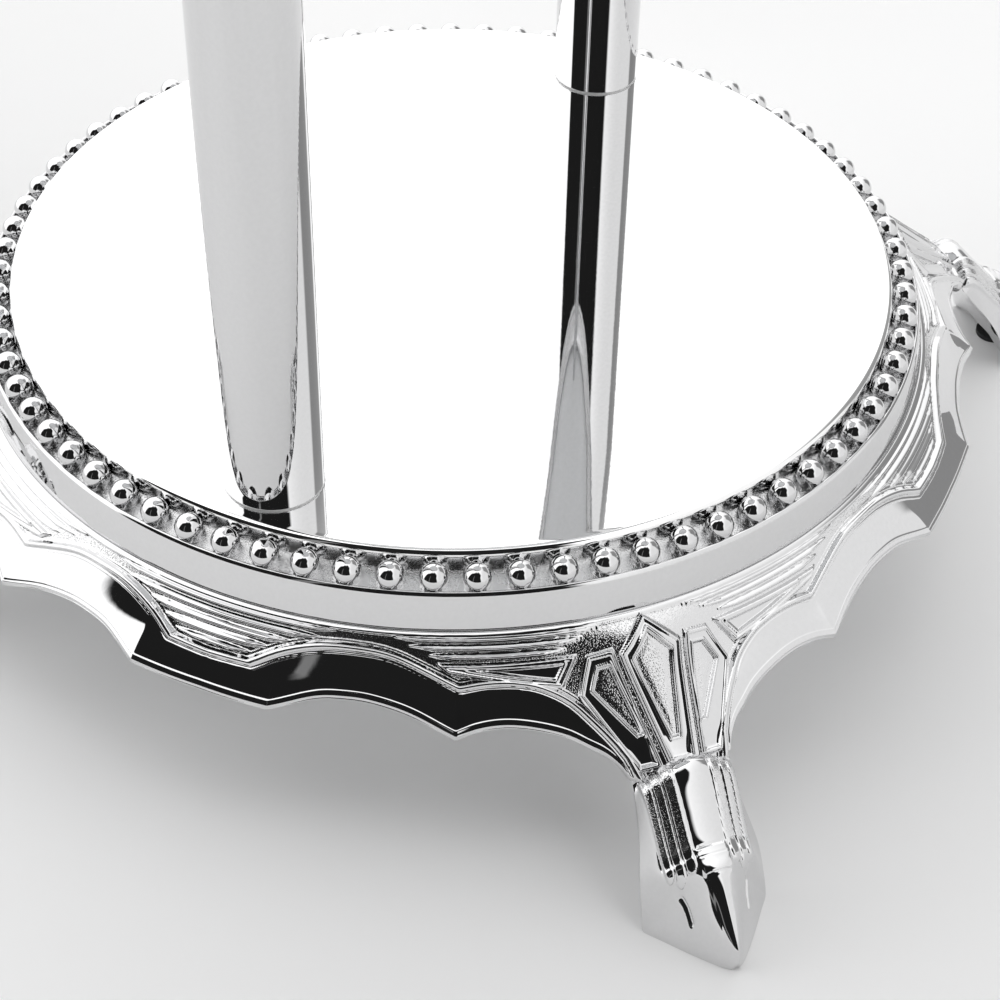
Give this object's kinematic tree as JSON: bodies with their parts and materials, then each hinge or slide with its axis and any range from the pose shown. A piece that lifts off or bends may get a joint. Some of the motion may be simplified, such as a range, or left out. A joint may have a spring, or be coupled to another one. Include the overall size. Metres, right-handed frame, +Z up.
{
  "type": "two-tier cake stand",
  "caption": "Chromed two-tier cake stand: mirror disc in a beaded, scalloped base on splayed feet, and a mirrored tray above on two posts.",
  "frame": {"origin": "centre of the stand on the surface it rests on", "axes": "+Z up; the two posts stand on the X axis and the feet point along the diagonals"},
  "size_m": [0.3764, 0.3764, 0.45],
  "materials": {
    "casting_chrome": "cast and chrome-plated: mirror bright on the bands, matte stipple in the fields",
    "mirror_disc": "mirror polished steel with very fine scratches",
    "post_chrome": "drawn tube, polished and chrome-plated",
    "finial_chrome": "turned, polished and chrome-plated",
    "support_plate": "grey painted steel, semi-matte",
    "fastener_steel": "bright zinc-plated steel",
    "plug_steel": "turned steel",
    "insert_brass": "turned brass",
    "gasket": "thin clear plastic washer",
    "foot_pad": "black rubber"
  },
  "bodies": {
    "base": {"base_casting": "casting_chrome", "base_mirror": "mirror_disc", "base_support_plate": "support_plate", "base_plate_screws": "fastener_steel", "foot_pad_1": "foot_pad", "foot_pad_2": "foot_pad", "foot_pad_3": "foot_pad", "foot_pad_4": "foot_pad", "post_bolt_left": "fastener_steel", "post_bolt_right": "fastener_steel", "bolt_washer_left": "fastener_steel", "bolt_washer_right": "fastener_steel", "post_gasket_left": "gasket", "post_gasket_right": "gasket"},
    "left_post": {"post_tube_left": "post_chrome", "post_bottom_plug_left": "plug_steel", "post_top_plug_left": "plug_steel", "post_stud_left": "fastener_steel"},
    "right_post": {"post_tube_right": "post_chrome", "post_bottom_plug_right": "plug_steel", "post_top_plug_right": "plug_steel", "post_stud_right": "fastener_steel"},
    "tray": {"tray_casting": "casting_chrome", "tray_mirror": "mirror_disc", "tray_support_plate": "support_plate", "tray_plate_screws": "fastener_steel", "tray_washer_left": "gasket", "tray_washer_right": "gasket", "finial_gasket_left": "gasket", "finial_gasket_right": "gasket"},
    "left_finial_insert": {"finial_insert_left": "insert_brass"},
    "left_finial_knob": {"finial_knob_left": "finial_chrome"},
    "right_finial_insert": {"finial_insert_right": "insert_brass"},
    "right_finial_knob": {"finial_knob_right": "finial_chrome"}
  },
  "joints": [
    {"name": "left_post_turn", "type": "hinge", "parent": "base", "child": "left_post", "pos_m": [-0.1326, 0, 0.0976], "axis": [0, 0, 1], "continuous": true},
    {"name": "right_post_turn", "type": "hinge", "parent": "base", "child": "right_post", "pos_m": [0.1326, 0, 0.0976], "axis": [0, 0, 1], "continuous": true},
    {"name": "tray_lift", "type": "slide", "parent": "base", "child": "tray", "axis": [0, 0, 1], "range_m": [0, 0.03]},
    {"name": "left_finial_rise", "type": "slide", "parent": "tray", "child": "left_finial_insert", "axis": [0, 0, 1], "range_m": [0, 0.012]},
    {"name": "left_finial_turn", "type": "hinge", "parent": "left_finial_insert", "child": "left_finial_knob", "pos_m": [-0.1326, 0, 0.433], "axis": [0, 0, 1], "range_deg": [0, 3240]},
    {"name": "right_finial_rise", "type": "slide", "parent": "tray", "child": "right_finial_insert", "axis": [0, 0, 1], "range_m": [0, 0.012]},
    {"name": "right_finial_turn", "type": "hinge", "parent": "right_finial_insert", "child": "right_finial_knob", "pos_m": [0.1326, 0, 0.433], "axis": [0, 0, 1], "range_deg": [0, 3240]}
  ],
  "couplings": [
    {"joint": "left_finial_rise", "follows": "left_finial_turn", "m_per_rad": 0.00019894},
    {"joint": "right_finial_rise", "follows": "right_finial_turn", "m_per_rad": 0.00019894}
  ]
}
